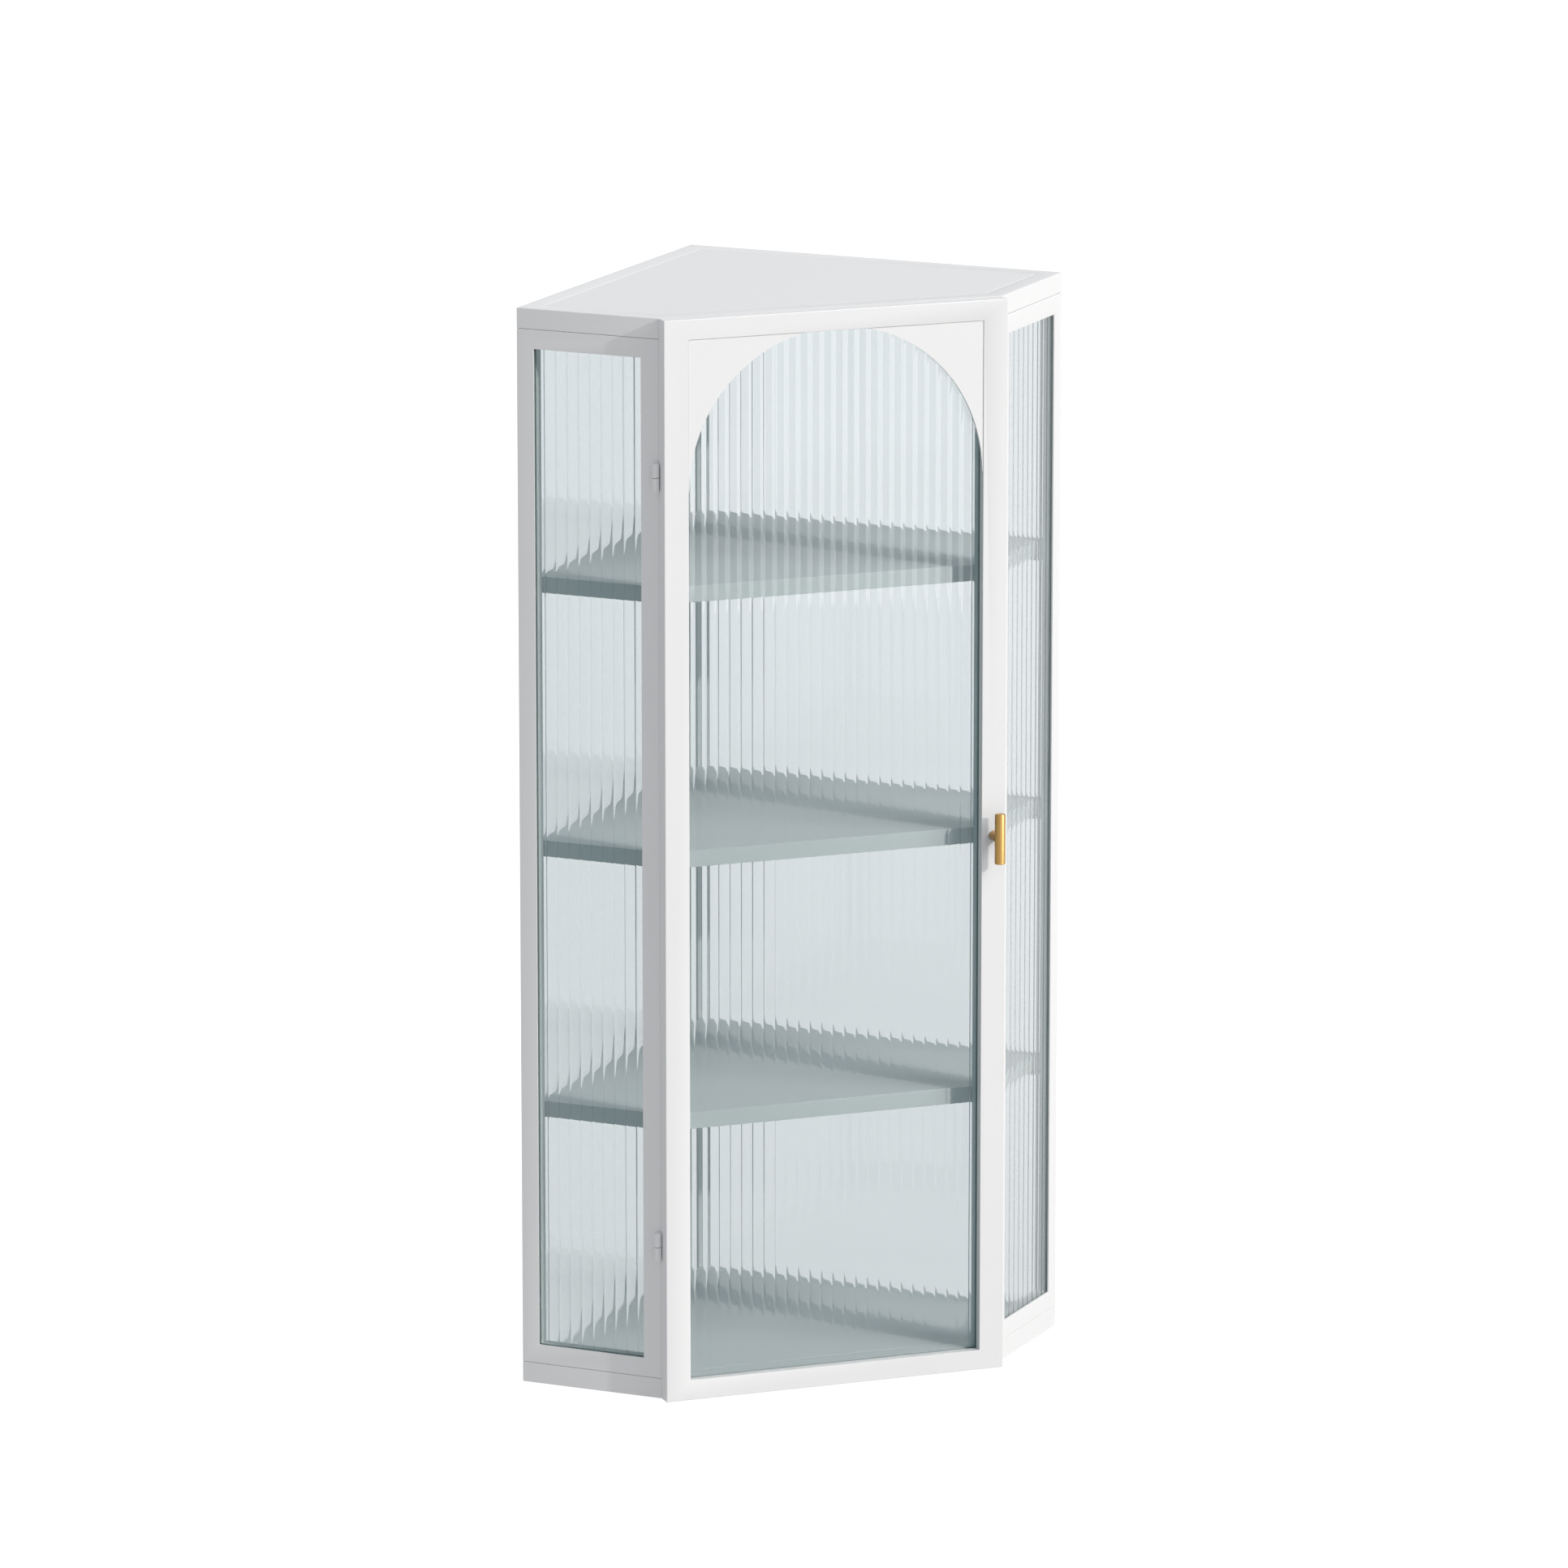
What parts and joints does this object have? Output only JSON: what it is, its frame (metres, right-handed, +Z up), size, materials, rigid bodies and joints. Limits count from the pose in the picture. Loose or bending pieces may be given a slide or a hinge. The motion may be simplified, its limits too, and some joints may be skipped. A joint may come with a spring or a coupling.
{
  "type": "corner wall cabinet",
  "caption": "Corner wall display cabinet: white steel case with fluted glass panes and shelves, hinged glass door with an arched head, brass T-knob.",
  "frame": {"origin": "centre of the bounding box in plan, at the level of the case's underside", "axes": "+Z up, the door faces -Y, the room corner is at the back on +Y, the door's hinges are on -X"},
  "size_m": [0.5656, 0.427, 1.07],
  "materials": {
    "white_paint": "satin white powder coat",
    "fluted_glass": "clear fluted glass, 12 mm flutes",
    "brushed_brass": "brushed, lacquered",
    "glazing_bead": "matt pale grey",
    "zinc_steel": "bright zinc plate",
    "catch_plastic": "moulded white"
  },
  "bodies": {
    "case": {"top_frame": "white_paint", "top_panel": "white_paint", "bottom_frame": "white_paint", "bottom_panel": "white_paint", "left_side_frame": "white_paint", "right_side_frame": "white_paint", "left_side_glass": "fluted_glass", "right_side_glass": "fluted_glass", "left_side_bead": "glazing_bead", "right_side_bead": "glazing_bead", "rear_post": "white_paint", "left_back_glass": "fluted_glass", "right_back_glass": "fluted_glass", "lower_shelf": "white_paint", "middle_shelf": "white_paint", "upper_shelf": "white_paint", "lower_peg_left_rear": "zinc_steel", "lower_peg_left_front": "zinc_steel", "lower_peg_right_rear": "zinc_steel", "lower_peg_right_front": "zinc_steel", "lower_peg_post": "zinc_steel", "middle_peg_left_rear": "zinc_steel", "middle_peg_left_front": "zinc_steel", "middle_peg_right_rear": "zinc_steel", "middle_peg_right_front": "zinc_steel", "middle_peg_post": "zinc_steel", "upper_peg_left_rear": "zinc_steel", "upper_peg_left_front": "zinc_steel", "upper_peg_right_rear": "zinc_steel", "upper_peg_right_front": "zinc_steel", "upper_peg_post": "zinc_steel", "top_bolt_left_rear": "zinc_steel", "top_bolt_left_front": "zinc_steel", "top_bolt_right_rear": "zinc_steel", "top_bolt_right_front": "zinc_steel", "top_bolt_post": "zinc_steel", "bottom_bolt_left_rear": "zinc_steel", "bottom_bolt_left_front": "zinc_steel", "bottom_bolt_right_rear": "zinc_steel", "bottom_bolt_right_front": "zinc_steel", "bottom_bolt_post": "zinc_steel", "lower_hinge_case_knuckle": "white_paint", "upper_hinge_case_knuckle": "white_paint", "lower_hinge_pin": "zinc_steel", "upper_hinge_pin": "zinc_steel", "catch_sleeve": "catch_plastic", "catch_magnet": "zinc_steel"},
    "door": {"door_frame": "white_paint", "arch_corner_left": "white_paint", "arch_corner_right": "white_paint", "door_glass": "fluted_glass", "door_bead": "glazing_bead", "lower_hinge_door_knuckle": "white_paint", "upper_hinge_door_knuckle": "white_paint", "knob_bar": "brushed_brass", "knob_stem": "brushed_brass", "knob_screw": "zinc_steel", "strike_plate": "zinc_steel"}
  },
  "joints": [
    {"name": "door_hinge", "type": "hinge", "parent": "case", "child": "door", "pos_m": [-0.18083, -0.17713, 0.535], "axis": [0, 0, -1], "range_deg": [0, 150]}
  ]
}
